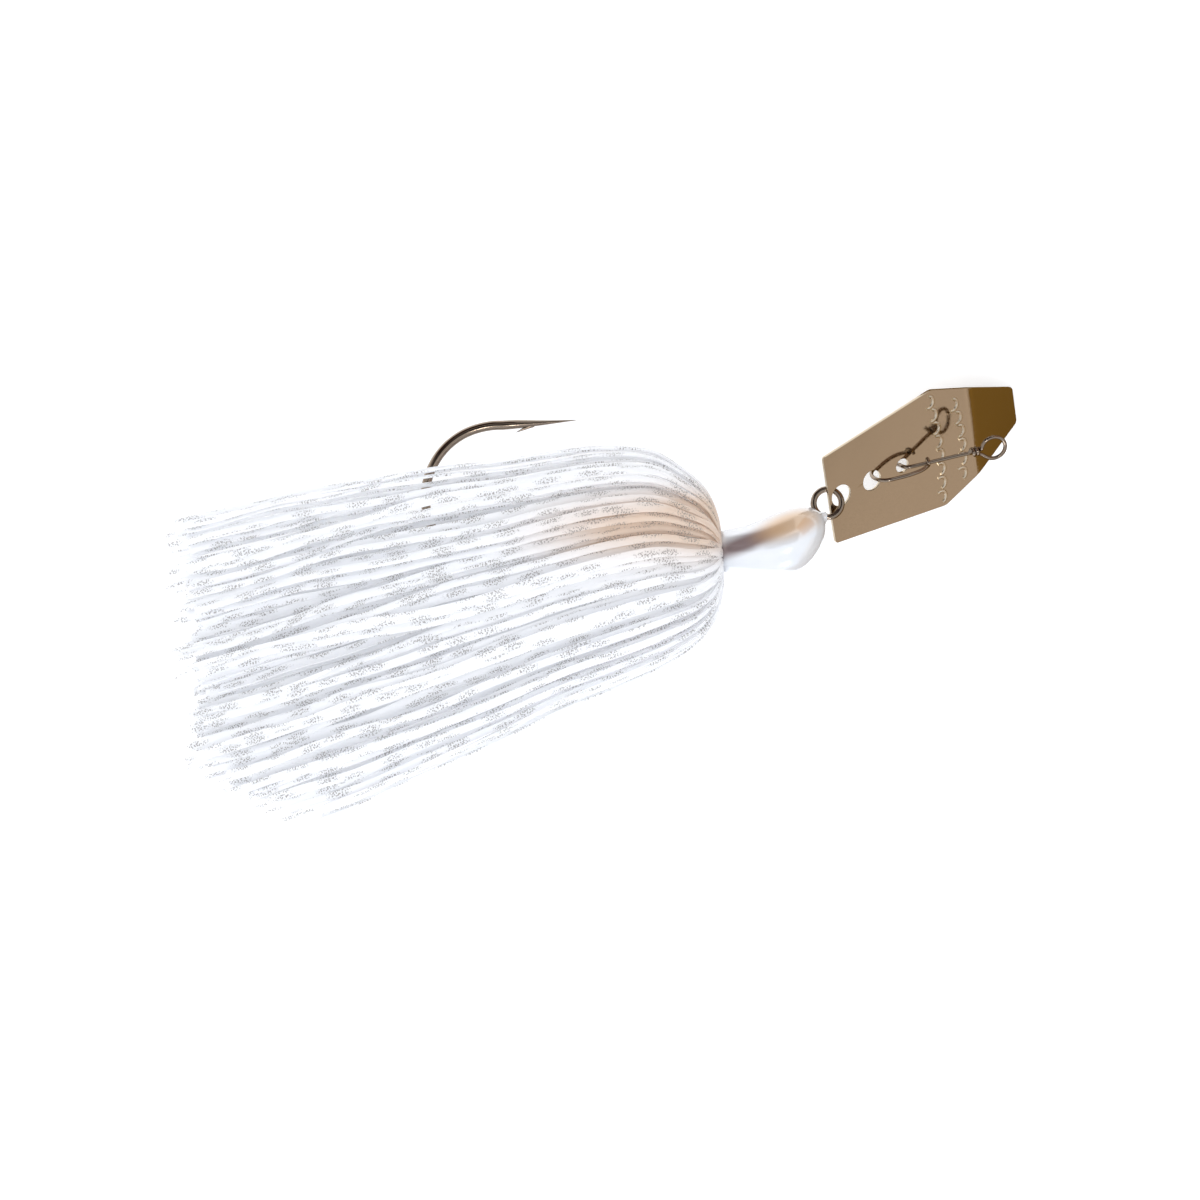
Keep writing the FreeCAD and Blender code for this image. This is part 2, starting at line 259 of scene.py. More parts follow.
def joined(name, pieces):
    """Several meshes made into one, which keeps the first one's place in the list."""
    clear_selection()
    for piece in pieces:
        piece.select_set(True)
    bpy.context.view_layer.objects.active = pieces[0]
    bpy.ops.object.join()
    piece = bpy.context.object
    piece.name = name
    return piece


hook_line = []
for x in (-3.6, -8, -16, -26, -36, -46):
    hook_line.append((x, SHANK_Y))
bend_reach = widened(BEND_RADIUS, BEND_STEP)
for degrees in range(0, 181, BEND_STEP):
    a = math.radians(degrees)
    hook_line.append((BEND_X - bend_reach * math.sin(a),
                      SHANK_Y + BEND_RADIUS - bend_reach * math.cos(a)))
top_y = SHANK_Y + 2 * BEND_RADIUS
hook_line += [(-48.6, top_y), (-47.2, top_y), (-46.2, top_y), (-44.5, top_y - 0.02),
              (-42.0, top_y - 0.05), (-39.5, top_y - 0.03), (-37.8, top_y), (-37.0, top_y)]
hook_radii = [HOOK_WIRE] * (len(hook_line) - len(TAPER_RADII)) + TAPER_RADII
neck_line = [(-0.75, -1.95), (-1.5, -3.0), (-2.4, -4.5), (-3.3, -6.0), (-3.6, SHANK_Y)]
shank = wire_piece("hook_shank", [placed(x, y) for x, y in hook_line], hook_radii)
neck = wire_piece("hook_neck", [placed(x, y) for x, y in neck_line], NECK_RADII)
eye_reach = widened(EYE_RADIUS, EYE_STEP)
ring_points = [placed(eye_reach * math.cos(math.radians(d)),
                      eye_reach * math.sin(math.radians(d))) for d in range(0, 360, EYE_STEP)]
eye = wire_piece("hook_eye", ring_points, [EYE_WIRE] * len(ring_points), cyclic=True)

clear_selection()
bpy.ops.mesh.primitive_cone_add(vertices=12, radius1=BARB_RADII[0] * MM,
                                radius2=BARB_RADII[1] * MM, depth=BARB_LENGTH * MM,
                                location=placed(BARB_PLACE[0], top_y + BARB_PLACE[1]))
barb = bpy.context.object
barb.scale = (1.0, 0.55, 1.0)
barb.rotation_euler = Vector(BARB_HEADING).to_track_quat("Z", "Y").to_euler()
apply_place()
bpy.ops.object.shade_smooth_by_angle(angle=math.radians(50))
hook = joined("jig_hook", [shank, neck, eye, barb])
# Black nickel: a dark, slightly warm mirror plate; fine draw lines blur it along the wire.
black_nickel, tree, shader = new_material("black_nickel_plate", "9A8A7A", 1, 0.10)
place = add_node(tree, "ShaderNodeTexCoord")
draw_lines = add_node(tree, "ShaderNodeTexNoise", links={"Vector": place.outputs["Object"]},
                      Scale=900, Detail=2)
gloss = add_node(tree, "ShaderNodeMapRange", links={"Value": draw_lines.outputs["Fac"]},
                 To_Min=0.06, To_Max=0.18)
tree.links.new(gloss.outputs["Result"], shader.inputs["Roughness"])
scale_bump = add_node(tree, "ShaderNodeBump", links={"Height": draw_lines.outputs["Fac"]},
                      Strength=0.15, Distance=0.00002)
tree.links.new(scale_bump.outputs["Normal"], shader.inputs["Normal"])
paint(hook, black_nickel)
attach(hook, "root")
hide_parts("hook")

# ---- Head --------------------------------------------------------------------------------
# A keel-heavy lead head cast round the hook's shank, with a keeper barrel behind it for the
# skirt. It is dipped hot in white powder paint, which flows out glossy and pools a little.
HEAD_ROWS = [(-22.5, -6.5, 1.95), (-22.3, -6.5, 2.02), (-21.9, -6.5, 1.9), (-19.5, -6.5, 1.9),
             (-16.75, -6.45, 1.95), (-16.6, -6.25, 3.0), (-16.4, -6.2, 3.22), (-15.0, -6.3, 3.45),
             (-13.5, -6.38, 3.72), (-11.8, -6.42, 4.1), (-9.8, -6.3, 4.7), (-7.9, -6.0, 5.1),
             (-6.3, -5.65, 5.27), (-5.0, -5.28, 5.17), (-3.8, -4.85, 4.75), (-2.8, -4.45, 4.15),
             (-1.9, -4.05, 3.35), (-1.2, -3.7, 2.45), (-0.75, -3.45, 1.5), (-0.52, -3.32, 0.6)]
HEAD_SIDES = 32
KEEPER_RADIUS = 1.9
BOSS_MIDDLE = (-1.75, -2.85)
BOSS_RADIUS = 1.75
BOSS_SCALE = (1.22, 0.62, 0.62)
BOSS_TURN = math.atan2(0.66, 0.75)
PAINT_GRID = 0.16
# middle, reach, lean, colour and strength of each band of painted reflection
PAINTED_REFLECTION_BANDS = (((-13.0, -5.2), (10.0, 2.0), 0.30, "7A6463", 0.90),
            ((-6.2, -2.9), (7.5, 3.2), 0.28, "D2AC80", 0.80))
clear_selection()
bpy.ops.mesh.primitive_cylinder_add(vertices=HEAD_SIDES, radius=KEEPER_RADIUS * MM,
                                    depth=0.2 * MM, end_fill_type="NOTHING",
                                    location=placed(HEAD_ROWS[0][0], SHANK_Y),
                                    rotation=(0, math.pi / 2, 0))
head = bpy.context.object
head.name = "lead_head"
apply_place()
head_mesh = bmesh.new()
head_mesh.from_mesh(head.data)
ring_x = placed(HEAD_ROWS[0][0], 0).x
front_ring = [v for v in head_mesh.verts if v.co.x > ring_x]
back_ring = [v for v in head_mesh.verts if v.co.x < ring_x]


def seat_ring(ring, x, y, radius):
    """Moves a ring of vertices onto one station of the head."""
    middle = sum((v.co for v in ring), Vector()) / len(ring)
    target = placed(x, y)
    for v in ring:
        out = (v.co - middle)
        out.x = 0
        v.co = target + out.normalized() * radius * MM


seat_ring(back_ring, *HEAD_ROWS[0])
seat_ring(front_ring, *HEAD_ROWS[1])
edge_ring = [e for e in head_mesh.edges if all(v in front_ring for v in e.verts)]
for row in HEAD_ROWS[2:]:
    grown = bmesh.ops.extrude_edge_only(head_mesh, edges=edge_ring)["geom"]
    ring = [g for g in grown if isinstance(g, bmesh.types.BMVert)]
    edge_ring = [g for g in grown if isinstance(g, bmesh.types.BMEdge)]
    seat_ring(ring, *row)
bmesh.ops.holes_fill(head_mesh, edges=[e for e in head_mesh.edges if e.is_boundary])
bmesh.ops.recalc_face_normals(head_mesh, faces=head_mesh.faces)
head_mesh.to_mesh(head.data)
head_mesh.free()
bpy.ops.object.modifier_add(type="SUBSURF")
head.modifiers["Subdivision"].levels = 2
head.modifiers["Subdivision"].render_levels = 2
bpy.ops.object.modifier_apply(modifier="Subdivision")
bpy.ops.object.shade_smooth()

clear_selection()
bpy.ops.mesh.primitive_uv_sphere_add(segments=32, ring_count=20, radius=BOSS_RADIUS * MM,
                                     location=placed(*BOSS_MIDDLE))
boss = bpy.context.object
boss.scale = BOSS_SCALE
boss.rotation_euler = (0, 0, BOSS_TURN)
apply_place()
bpy.ops.object.shade_smooth()
head = joined("lead_head", [head, boss])
bpy.ops.object.modifier_add(type="REMESH")
head.modifiers["Remesh"].mode = "VOXEL"
head.modifiers["Remesh"].voxel_size = PAINT_GRID * MM
bpy.ops.object.modifier_apply(modifier="Remesh")
bpy.ops.object.modifier_add(type="SMOOTH")
head.modifiers["Smooth"].iterations = 12
head.modifiers["Smooth"].factor = 0.6
bpy.ops.object.modifier_apply(modifier="Smooth")
bpy.ops.object.shade_smooth()
# Baked powder paint with a little mica, which gives it a pearl's soft mirror: a thick white
# film under a clear gloss, with a faint orange peel of about 0.8 mm and a clouded tone. A
# painted reflection of a brown room lies along the upper side, dark brown near the collar
# and turning tan at the nose.
powder_paint, tree, shader = new_material("white_pearl_powder_paint", "F3F3F2", 0.25, 0.17,
                                          Coat_Weight=1.0, Coat_Roughness=0.03, IOR=1.5)
place = add_node(tree, "ShaderNodeTexCoord")
peel = add_node(tree, "ShaderNodeTexNoise", links={"Vector": place.outputs["Object"]},
                Scale=1 / (0.8 * MM), Detail=1)
peel_bump = add_node(tree, "ShaderNodeBump", links={"Height": peel.outputs["Fac"]},
                     Strength=0.10, Distance=0.00004)
tree.links.new(peel_bump.outputs["Normal"], shader.inputs["Normal"])
tree.links.new(peel_bump.outputs["Normal"], shader.inputs["Coat Normal"])
cloud = add_node(tree, "ShaderNodeTexNoise", links={"Vector": place.outputs["Object"]},
                 Scale=1 / (4 * MM), Detail=3)
film = add_node(tree, "ShaderNodeMix", {"data_type": "RGBA"},
                {"Factor": cloud.outputs["Fac"]}, A=linear("EFF1F4"), B=linear("E2E6ED"))
tone = film
# the bands below are painted reflection, mixed over the white film
for middle, reach, lean, colour, most in PAINTED_REFLECTION_BANDS:
    reflection_band_map = add_node(tree, "ShaderNodeMapping", {"vector_type": "TEXTURE"},
                         {"Vector": place.outputs["Object"]}, Location=placed(*middle, 3.5),
                         Rotation=(0, 0, lean), Scale=(reach[0] * MM, reach[1] * MM, 6 * MM))
    reflection_band = add_node(tree, "ShaderNodeTexGradient", {"gradient_type": "SPHERICAL"},
                     {"Vector": reflection_band_map.outputs["Vector"]})
    reflection_band_part = add_node(tree, "ShaderNodeMapRange", {"interpolation_type": "SMOOTHSTEP"},
                          {"Value": reflection_band.outputs["Fac"]}, From_Max=0.75, To_Max=most)
    tone = add_node(tree, "ShaderNodeMix", {"data_type": "RGBA"},
                    {"Factor": reflection_band_part.outputs["Result"], "A": tone.outputs["Result"]},
                    B=linear(colour))
tree.links.new(tone.outputs["Result"], shader.inputs["Base Color"])
paint(head, powder_paint)
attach(head, "root")
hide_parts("head")

# ---- Collar band -------------------------------------------------------------------------
# A short length of soft silicone tube, stretched over the bundled strands. It grips them
# against the keeper; moulded ribs run round it.
COLLAR_X = (-21.6, -18.9)
COLLAR_RADIUS = 4.62
COLLAR_WALL = 0.82
COLLAR_RIBS = 3
RIB_HEIGHT = 0.10
clear_selection()
bpy.ops.mesh.primitive_cylinder_add(vertices=48, radius=COLLAR_RADIUS * MM,
                                    depth=(COLLAR_X[1] - COLLAR_X[0]) * MM,
                                    end_fill_type="NOTHING",
                                    location=placed(sum(COLLAR_X) / 2, SHANK_Y),
                                    rotation=(0, math.pi / 2, 0))
collar = bpy.context.object
collar.name = "skirt_collar"
apply_place()
bpy.ops.object.mode_set(mode="EDIT")
bpy.ops.mesh.select_all(action="SELECT")
bpy.ops.mesh.subdivide(number_cuts=7)
bpy.ops.object.mode_set(mode="OBJECT")
collar_axis = placed(0, SHANK_Y)
for v in collar.data.vertices:
    out = Vector((0, v.co.y - collar_axis.y, v.co.z - collar_axis.z))
    along = (v.co.x - placed(COLLAR_X[0], 0).x) / ((COLLAR_X[1] - COLLAR_X[0]) * MM)
    rib = RIB_HEIGHT * math.cos(along * COLLAR_RIBS * 2 * math.pi) - 0.12
    out = out.normalized() * (COLLAR_RADIUS + rib) * MM
    v.co.y = collar_axis.y + out.y
    v.co.z = collar_axis.z + out.z
bpy.ops.object.modifier_add(type="SOLIDIFY")
collar.modifiers["Solidify"].thickness = COLLAR_WALL * MM
collar.modifiers["Solidify"].offset = -1
bpy.ops.object.modifier_apply(modifier="Solidify")
bpy.ops.object.modifier_add(type="BEVEL")
collar.modifiers["Bevel"].width = 0.12 * MM
collar.modifiers["Bevel"].segments = 2
bpy.ops.object.modifier_apply(modifier="Bevel")
bpy.ops.object.shade_smooth_by_angle(angle=math.radians(60))
# Moulded silicone: milky, satin, with fine dusting of mould release.
collar_silicone, tree, shader = new_material("moulded_silicone_band", "E9E6E0", 0, 0.45,
                                             IOR=1.41)
place = add_node(tree, "ShaderNodeTexCoord")
dust = add_node(tree, "ShaderNodeTexNoise", links={"Vector": place.outputs["Object"]},
                Scale=1 / (0.5 * MM), Detail=3)
milk = add_node(tree, "ShaderNodeMix", {"data_type": "RGBA"}, {"Factor": dust.outputs["Fac"]},
                A=linear("EEEBE6"), B=linear("DAD6CF"))
tree.links.new(milk.outputs["Result"], shader.inputs["Base Color"])
paint(collar, collar_silicone)
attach(collar, "root")
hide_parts("collar_band")

# ---- Skirt strands -----------------------------------------------------------------------
# Flat strands slit from a clear-white silicone sheet with black flake in it. Each passes
# under the collar near its middle: its rear leg lies straight back, and its front leg folds
# over the collar into the dome and then back over the rest.
STRANDS_PER_LAYER = 14
ROOT_RADII = (2.3, 2.8, 3.3)
FOLD_SCALES = (1.0, 0.86, 0.72)
REAR_SCALES = (0.35, 0.46, 0.58)
PARTING_DEG = 13
REAR_PARTING_DEG = 38
DOME_X = -21.0
DOME_FLARE = 4.35
DOME_ROUND = ((3.8, 7.0), (2.5, 10.2), (-0.3, 13.3))     # forward of DOME_X, and radius
TIP_X = -98.5
TIP_TURN_Y = -33.0
TIP_SLOPE = 1.4
# x, half width in Y, height of the centre line, half heights above and below in Z, sag
SKIRT_ROWS = [(-26.5, 16.6, -6.2, 16.6, 16.8, 0.0), (-34.0, 18.5, -7.1, 16.0, 16.9, 0.0),
              (-42.0, 19.6, -8.6, 15.0, 16.9, 0.0), (-50.0, 20.9, -10.5, 13.6, 16.9, 0.0),
              (-62.0, 22.9, -13.1, 11.5, 16.8, 0.0), (-74.0, 24.6, -15.7, 9.6, 14.3, -2.6),
              (-86.0, 25.6, -18.4, 7.6, 11.5, -5.4), (-103.0, 26.6, -22.0, 5.2, 8.0, -8.9)]
STRAND_THICK = 0.24
STRAND_ROOT_WIDTH = 0.74
STRAND_WIDTH = 1.3
SAMPLES_PER_STATION = 4
COLUMNS = 4
CROWN = 0.12
WANDER = 1.0


def on_envelope(x, scale, angle):
    """Point and side direction on the skirt's oval envelope at x."""
    for near, far in zip(SKIRT_ROWS, SKIRT_ROWS[1:]):
        if x >= far[0]:
            break
    part = (x - near[0]) / (far[0] - near[0])
    half_y, centre_y, up, down, sag = [a + (b - a) * part for a, b in zip(near[1:], far[1:])]
    half_z = up if math.sin(angle) > 0 else down
    side = Vector((0, -half_y * math.sin(angle), half_z * math.cos(angle)))
    return (Vector((x, centre_y + scale * half_y * math.cos(angle),
                    sag + scale * half_z * math.sin(angle))), side.normalized())


def on_round(x, radius, angle):
    """Point and side direction on a circle round the shank."""
    return (Vector((x, SHANK_Y + radius * math.cos(angle), radius * math.sin(angle))),
            Vector((0, -math.sin(angle), math.cos(angle))))


def leg_tip_x(scale, angle, number):
    """Where a leg ends: a ragged line, cut shorter along the lower edge."""
    y = on_envelope(-90, scale, angle)[0].y
    ragged = 1.6 * math.sin(2.4 * number) + 1.1 * math.sin(5.1 * number + 1)
    return TIP_X - TIP_SLOPE * min(y - TIP_TURN_Y, 0) + ragged


# the front legs stick together in clumps at these angles round the skirt, towards their tips
CLUMP_DEG = (6, 21, 30, 48, 56, 64, 76, 84, 103, 114, 123, 133, 146, 160, 172, 188, 204, 222, 238,
             255, 268, 285, 301, 318, 335, 352)
CLUMP_FROM_X = -50
CLUMP_TO_X = -92
CLUMP_PULL = 0.85


def clumped(angle, x):
    """The angle drawn towards its nearest clump, more so near the tips."""
    near = math.radians(min(CLUMP_DEG, key=lambda d: abs(math.radians(d) - angle)))
    part = min(1.0, max(0.0, (x - CLUMP_FROM_X) / (CLUMP_TO_X - CLUMP_FROM_X)))
    return angle + (near - angle) * CLUMP_PULL * part * part * (3 - 2 * part)


def strand_stations(layer, turns):
    """Points and side directions of a strand; layer may lie between the whole ones."""
    def of_layer(values):
        low = min(int(layer), 1)
        return values[low] + (values[low + 1] - values[low]) * (layer - low)
    step_deg = (360 - 2 * PARTING_DEG) / STRANDS_PER_LAYER
    degrees = PARTING_DEG + step_deg * turns
    squeeze = (180 - REAR_PARTING_DEG) / (180 - PARTING_DEG)
    front = math.radians(degrees)
    rear = math.radians(180 + (degrees - 180) * squeeze)
    root, fold, scale = of_layer(ROOT_RADII), of_layer(FOLD_SCALES), of_layer(REAR_SCALES)
    number = turns * len(ROOT_RADII) - 0.5
    stations = []
    tip = leg_tip_x(scale, rear, number + 50) + 2
    for x in [tip] + [row[0] for row in reversed(SKIRT_ROWS) if tip + 4 < row[0] <= -34]:
        stations.append(on_envelope(x, scale, rear))
    stations.append(on_round(-25.6, root + 0.5 + 0.9 * layer, 0.6 * front + 0.4 * rear))
    stations.append(on_round(-21.9, root, front))
    stations.append(on_round(-18.8, root, front))
    dome_front = DOME_X + DOME_FLARE * fold
    stations.append(on_round(dome_front - 0.4, root + 0.45, front))
    stations.append(on_round(dome_front, root + 1.5, front))
    for forward, radius in DOME_ROUND:
        stations.append(on_round(DOME_X + forward * fold, radius * fold, front))
    tip = leg_tip_x(fold, front, number)
    for x in [row[0] for row in SKIRT_ROWS if row[0] > tip + 4] + [tip]:
        stations.append(on_envelope(x, fold, clumped(front, x)))
    return stations


def smooth_between(p0, p1, p2, p3, t):
    """A point on the smooth line from p1 to p2."""
    return 0.5 * (2 * p1 + (p2 - p0) * t + (2 * p0 - 5 * p1 + 4 * p2 - p3) * t * t
                  + (3 * p1 - p0 - 3 * p2 + p3) * t ** 3)


def strand_line(stations):
    """The smooth line through a strand's stations, with its side directions."""
    points, sides = [], []
    ends = [stations[0]] + stations + [stations[-1]]
    for i in range(1, len(ends) - 2):
        window = ends[i - 1:i + 3]
        for k in range(SAMPLES_PER_STATION):
            t = k / SAMPLES_PER_STATION
            points.append(smooth_between(*[w[0] for w in window], t))
            sides.append(window[1][1].lerp(window[2][1], t).normalized())
    points.append(stations[-1][0])
    sides.append(stations[-1][1])
    return points, sides


def make_strand(name, layer, turns, width, chance):
    """One strand: a grid laid along its line, crowned a little, then given its thickness."""
    points, sides = strand_line(strand_stations(layer, turns))
    rows = len(points)
    clear_selection()
    bpy.ops.mesh.primitive_grid_add(x_subdivisions=COLUMNS, y_subdivisions=rows - 1, size=1)
    strand = bpy.context.object
    strand.name = name
    flake_place = strand.data.attributes.new("flake_place", "FLOAT_VECTOR", "POINT")
    wander = chance.uniform(0, 100)
    roll = chance.uniform(-0.7, 0.7)
    travelled = chance.uniform(0, 60)
    lane = chance.uniform(0, 60)
    slant = chance.uniform(-0.5, 0.5)
    for r in range(rows):
        ahead = points[min(r + 1, rows - 1)] - points[max(r - 1, 0)]
        heading = ahead.normalized()
        if r:
            travelled += (points[r] - points[r - 1]).length
        behind = max(0.0, -26 - points[r].x)
        free = min(1.0, behind / 40)
        twist = free * (roll + 0.5 * noise.noise(Vector((wander, points[r].x / 20, 0))))
        side = (sides[r] - heading * sides[r].dot(heading)).normalized()
        side = Matrix.Rotation(twist, 3, heading) @ side
        lift = heading.cross(side)
        shift = free * WANDER * noise.noise(Vector((wander, points[r].x / 16, 5)))
        rise = free * WANDER * noise.noise(Vector((wander, points[r].x / 16, 9)))
        middle = points[r] + side * shift + lift * rise
        grip = min(1.0, abs(points[r].x + 20.3) / 7)
        half = (STRAND_ROOT_WIDTH + (width - STRAND_ROOT_WIDTH) * grip) / 2
        for c in range(COLUMNS + 1):
            across = 2 * c / COLUMNS - 1
            v = strand.data.vertices[r * (COLUMNS + 1) + c]
            out = middle + side * half * across + lift * CROWN * (1 - across * across)
            if r in (0, rows - 1):
                out += heading * slant * across
            v.co = placed(*out)
            flake_place.data[v.index].vector = (lane + half * across, travelled, 0)
    bpy.ops.object.modifier_add(type="SOLIDIFY")
    strand.modifiers["Solidify"].thickness = STRAND_THICK * MM
    strand.modifiers["Solidify"].offset = 0
    bpy.ops.object.modifier_apply(modifier="Solidify")
    bpy.ops.object.shade_smooth_by_angle(angle=math.radians(50))
    return strand


# Cast silicone sheet: milky, satin, and light passes well into it. Black flake lies in loose
# clusters some two millimetres long and 5.6 mm apart; the flakes are drawn 0.2 mm wide,
# coarse enough to show. Over the collar a warm tan is painted onto the strands as painted
# bounce light. A faint glow stands in for the light that wanders from strand to strand
# inside the bundle.
silicone, tree, shader = new_material("milky_cast_silicone", "EEF0F3", 0, 0.36, IOR=1.41,
                                      Subsurface_Weight=0.5,
                                      Subsurface_Radius=(1.0, 1.0, 1.0),
                                      Subsurface_Scale=2.0 * MM, Alpha=0.85,
                                      Emission_Strength=0.14,
                                      Specular_IOR_Level=0.25)
flake_coords = add_node(tree, "ShaderNodeAttribute", {"attribute_name": "flake_place"})
cluster_map = add_node(tree, "ShaderNodeMapping",
                       links={"Vector": flake_coords.outputs["Vector"]},
                       Scale=(1 / 1.5, 1 / 5.6, 1))
clusters = add_node(tree, "ShaderNodeTexVoronoi", {"voronoi_dimensions": "2D"},
                    {"Vector": cluster_map.outputs["Vector"]}, Scale=1, Randomness=0.75)
ragged = add_node(tree, "ShaderNodeTexNoise", {"noise_dimensions": "2D"},
                  {"Vector": flake_coords.outputs["Vector"]}, Scale=2.5, Detail=1)
cluster_edge = add_node(tree, "ShaderNodeMath", {"operation": "MULTIPLY_ADD"},
                        {0: ragged.outputs["Fac"], 2: clusters.outputs["Distance"]})
cluster_edge.inputs[1].default_value = 0.30
cluster_mask = add_node(tree, "ShaderNodeMapRange",
                        links={"Value": cluster_edge.outputs["Value"]},
                        From_Min=0.36, From_Max=0.56, To_Min=1, To_Max=0)
flakes = add_node(tree, "ShaderNodeTexVoronoi", {"voronoi_dimensions": "2D"},
                  {"Vector": flake_coords.outputs["Vector"]}, Scale=3.2, Randomness=1)
flake_mask = add_node(tree, "ShaderNodeMapRange", links={"Value": flakes.outputs["Distance"]},
                      From_Min=0.24, From_Max=0.42, To_Min=1, To_Max=0.15)
flake_amount = add_node(tree, "ShaderNodeMath", {"operation": "MULTIPLY"},
                        {0: cluster_mask.outputs["Result"], 1: flake_mask.outputs["Result"]})
tint_noise = add_node(tree, "ShaderNodeTexNoise", {"noise_dimensions": "2D"},
                      {"Vector": flake_coords.outputs["Vector"]}, Scale=0.15, Detail=1)
sheet_tint = add_node(tree, "ShaderNodeMix", {"data_type": "RGBA"},
                      {"Factor": tint_noise.outputs["Fac"]}, A=linear("F3F4F6"), B=linear("E8EAEF"))
place = add_node(tree, "ShaderNodeTexCoord")
# painted bounce light: a warm tan laid over the strands above the collar
painted_bounce_map = add_node(tree, "ShaderNodeMapping", {"vector_type": "TEXTURE"},
                    {"Vector": place.outputs["Object"]}, Location=placed(-24.0, -1.8, 8.0),
                    Scale=(30 * MM, 8.5 * MM, 20 * MM))
painted_bounce_ball = add_node(tree, "ShaderNodeTexGradient", {"gradient_type": "QUADRATIC_SPHERE"},
                     {"Vector": painted_bounce_map.outputs["Vector"]})
painted_bounce_part = add_node(tree, "ShaderNodeMapRange", links={"Value": painted_bounce_ball.outputs["Fac"]},
                     From_Min=0, From_Max=0.34, To_Min=0, To_Max=0.95)
tint_and_painted_bounce = add_node(tree, "ShaderNodeMix", {"data_type": "RGBA"},
                  {"Factor": painted_bounce_part.outputs["Result"], "A": sheet_tint.outputs["Result"]},
                  B=linear("D9C2AF"))
flaked = add_node(tree, "ShaderNodeMix", {"data_type": "RGBA"},
                  {"Factor": flake_amount.outputs["Value"], "A": tint_and_painted_bounce.outputs["Result"]},
                  B=linear("7C7875"))
tree.links.new(flaked.outputs["Result"], shader.inputs["Base Color"])
tree.links.new(tint_and_painted_bounce.outputs["Result"], shader.inputs["Emission Color"])

SKIRT_SEED = 11
chance = random.Random(SKIRT_SEED)
for step in range(STRANDS_PER_LAYER):
    for layer in range(3):
        number = step * 3 + layer + 1
        strand = make_strand("strand_%02d" % number, layer, step + (layer + 0.5) / 3,
                             STRAND_WIDTH * chance.uniform(0.85, 1.25), chance)
        paint(strand, silicone)
        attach(strand, "root")
        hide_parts("skirt_strand_%02d" % number)

# more strands of the same kind lie between those, joined by how deep they lie
EXTRA_STRANDS = ((0.25, 30), (0.9, 24), (1.6, 18))
for depth, count in EXTRA_STRANDS:
    between = []
    for k in range(count):
        turns = -0.35 + (STRANDS_PER_LAYER + 0.7) * (k + 0.5) / count
        between.append(make_strand("between", depth + chance.uniform(-0.2, 0.2), turns,
                                   STRAND_WIDTH * chance.uniform(0.8, 1.2), chance))
    filler = joined("strands_between_%d" % count, between)
    paint(filler, silicone)
    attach(filler, "root")

# ---- Blade -------------------------------------------------------------------------------
# An angled vibrating blade, stamped from half-millimetre steel sheet, its nose folded down,
# then polished and nickel plated. Two curved rows of plain scale marks are raised near the
# fold, where such blades carry a stamping.
snap_joint = frame["joints"][1]
BLADE_HANG = placed(2.05, 1.1, -0.37)
BLADE_ALONG = Vector((0.846, 0.341, -0.409)).normalized()
BLADE_ACROSS = Vector((-0.098, 0.855, 0.509))
BLADE_ACROSS = (BLADE_ACROSS - BLADE_ALONG * BLADE_ACROSS.dot(BLADE_ALONG)).normalized()
BLADE_NORMAL = BLADE_ALONG.cross(BLADE_ACROSS)
HOLES = [(2.25, 1.75), (8.1, 1.65), (13.9, 1.15)]
BLADE_ORIGIN = BLADE_HANG - BLADE_ALONG * HOLES[0][0] * MM
BLADE_TURN = Matrix((BLADE_ALONG, BLADE_ACROSS, BLADE_NORMAL)).transposed().to_4x4()
BLADE_PLACE = Matrix.Translation(BLADE_ORIGIN) @ BLADE_TURN
BLADE_THICK = 0.5
OUTLINE = [(0, 7.5), (20.9, 10.2), (27.7, 7.6), (37.1, 3.1)]
FOLD_U = 27.7
FOLD_DEG = 9.5
FOLD_RADIUS = 1.0
FOLD_CUTS = 9
CORNER_RADIUS = 0.45
EDGE_ROUND = 0.07
MARK_ROWS = ((20.0, 8.4, 8), (24.3, 6.1, 6))     # distance along, half width and count
MARK_RADIUS = 0.95
MARK_WIRE = 0.25
MARK_BOW = 0.6
MARK_FAN = 0.35

clear_selection()
bpy.ops.mesh.primitive_plane_add(size=1)
blade = bpy.context.object
blade.name = "folded_blade"
blade_mesh = bmesh.new()
corners = [blade_mesh.verts.new((u * MM, -v * MM, 0)) for u, v in OUTLINE]
corners += [blade_mesh.verts.new((u * MM, v * MM, 0)) for u, v in reversed(OUTLINE)]
blade_mesh.faces.new(corners)
blade_mesh.to_mesh(blade.data)
blade_mesh.free()
bpy.ops.object.mode_set(mode="EDIT")
bpy.ops.mesh.select_all(action="SELECT")
bpy.ops.mesh.bevel(offset=CORNER_RADIUS * MM, segments=5, affect="VERTICES")
bpy.ops.mesh.extrude_region_move(TRANSFORM_OT_translate={"value": (0, 0, BLADE_THICK * MM)})
bpy.ops.mesh.select_all(action="SELECT")
bpy.ops.transform.translate(value=(0, 0, -BLADE_THICK / 2 * MM))
bpy.ops.mesh.normals_make_consistent(inside=False)
bpy.ops.object.mode_set(mode="OBJECT")
for u, radius in HOLES:
    clear_selection()
    bpy.ops.mesh.primitive_cylinder_add(vertices=40, radius=radius * MM, depth=3 * MM,
                                        location=(u * MM, 0, 0))
    punch = bpy.context.object
    clear_selection()
    bpy.context.view_layer.objects.active = blade
    blade.select_set(True)
    bpy.ops.object.modifier_add(type="BOOLEAN")
    blade.modifiers["Boolean"].object = punch
    blade.modifiers["Boolean"].solver = "EXACT"
    bpy.ops.object.modifier_apply(modifier="Boolean")
    bpy.data.objects.remove(punch)
bpy.ops.object.mode_set(mode="EDIT")
for cut in range(FOLD_CUTS):
    u = FOLD_U + (cut / (FOLD_CUTS - 1) - 0.5) * 2 * FOLD_RADIUS
    bpy.ops.mesh.select_all(action="SELECT")
    bpy.ops.mesh.bisect(plane_co=(u * MM, 0, 0), plane_no=(1, 0, 0))
bpy.ops.object.mode_set(mode="OBJECT")
bpy.ops.object.modifier_add(type="BEVEL")
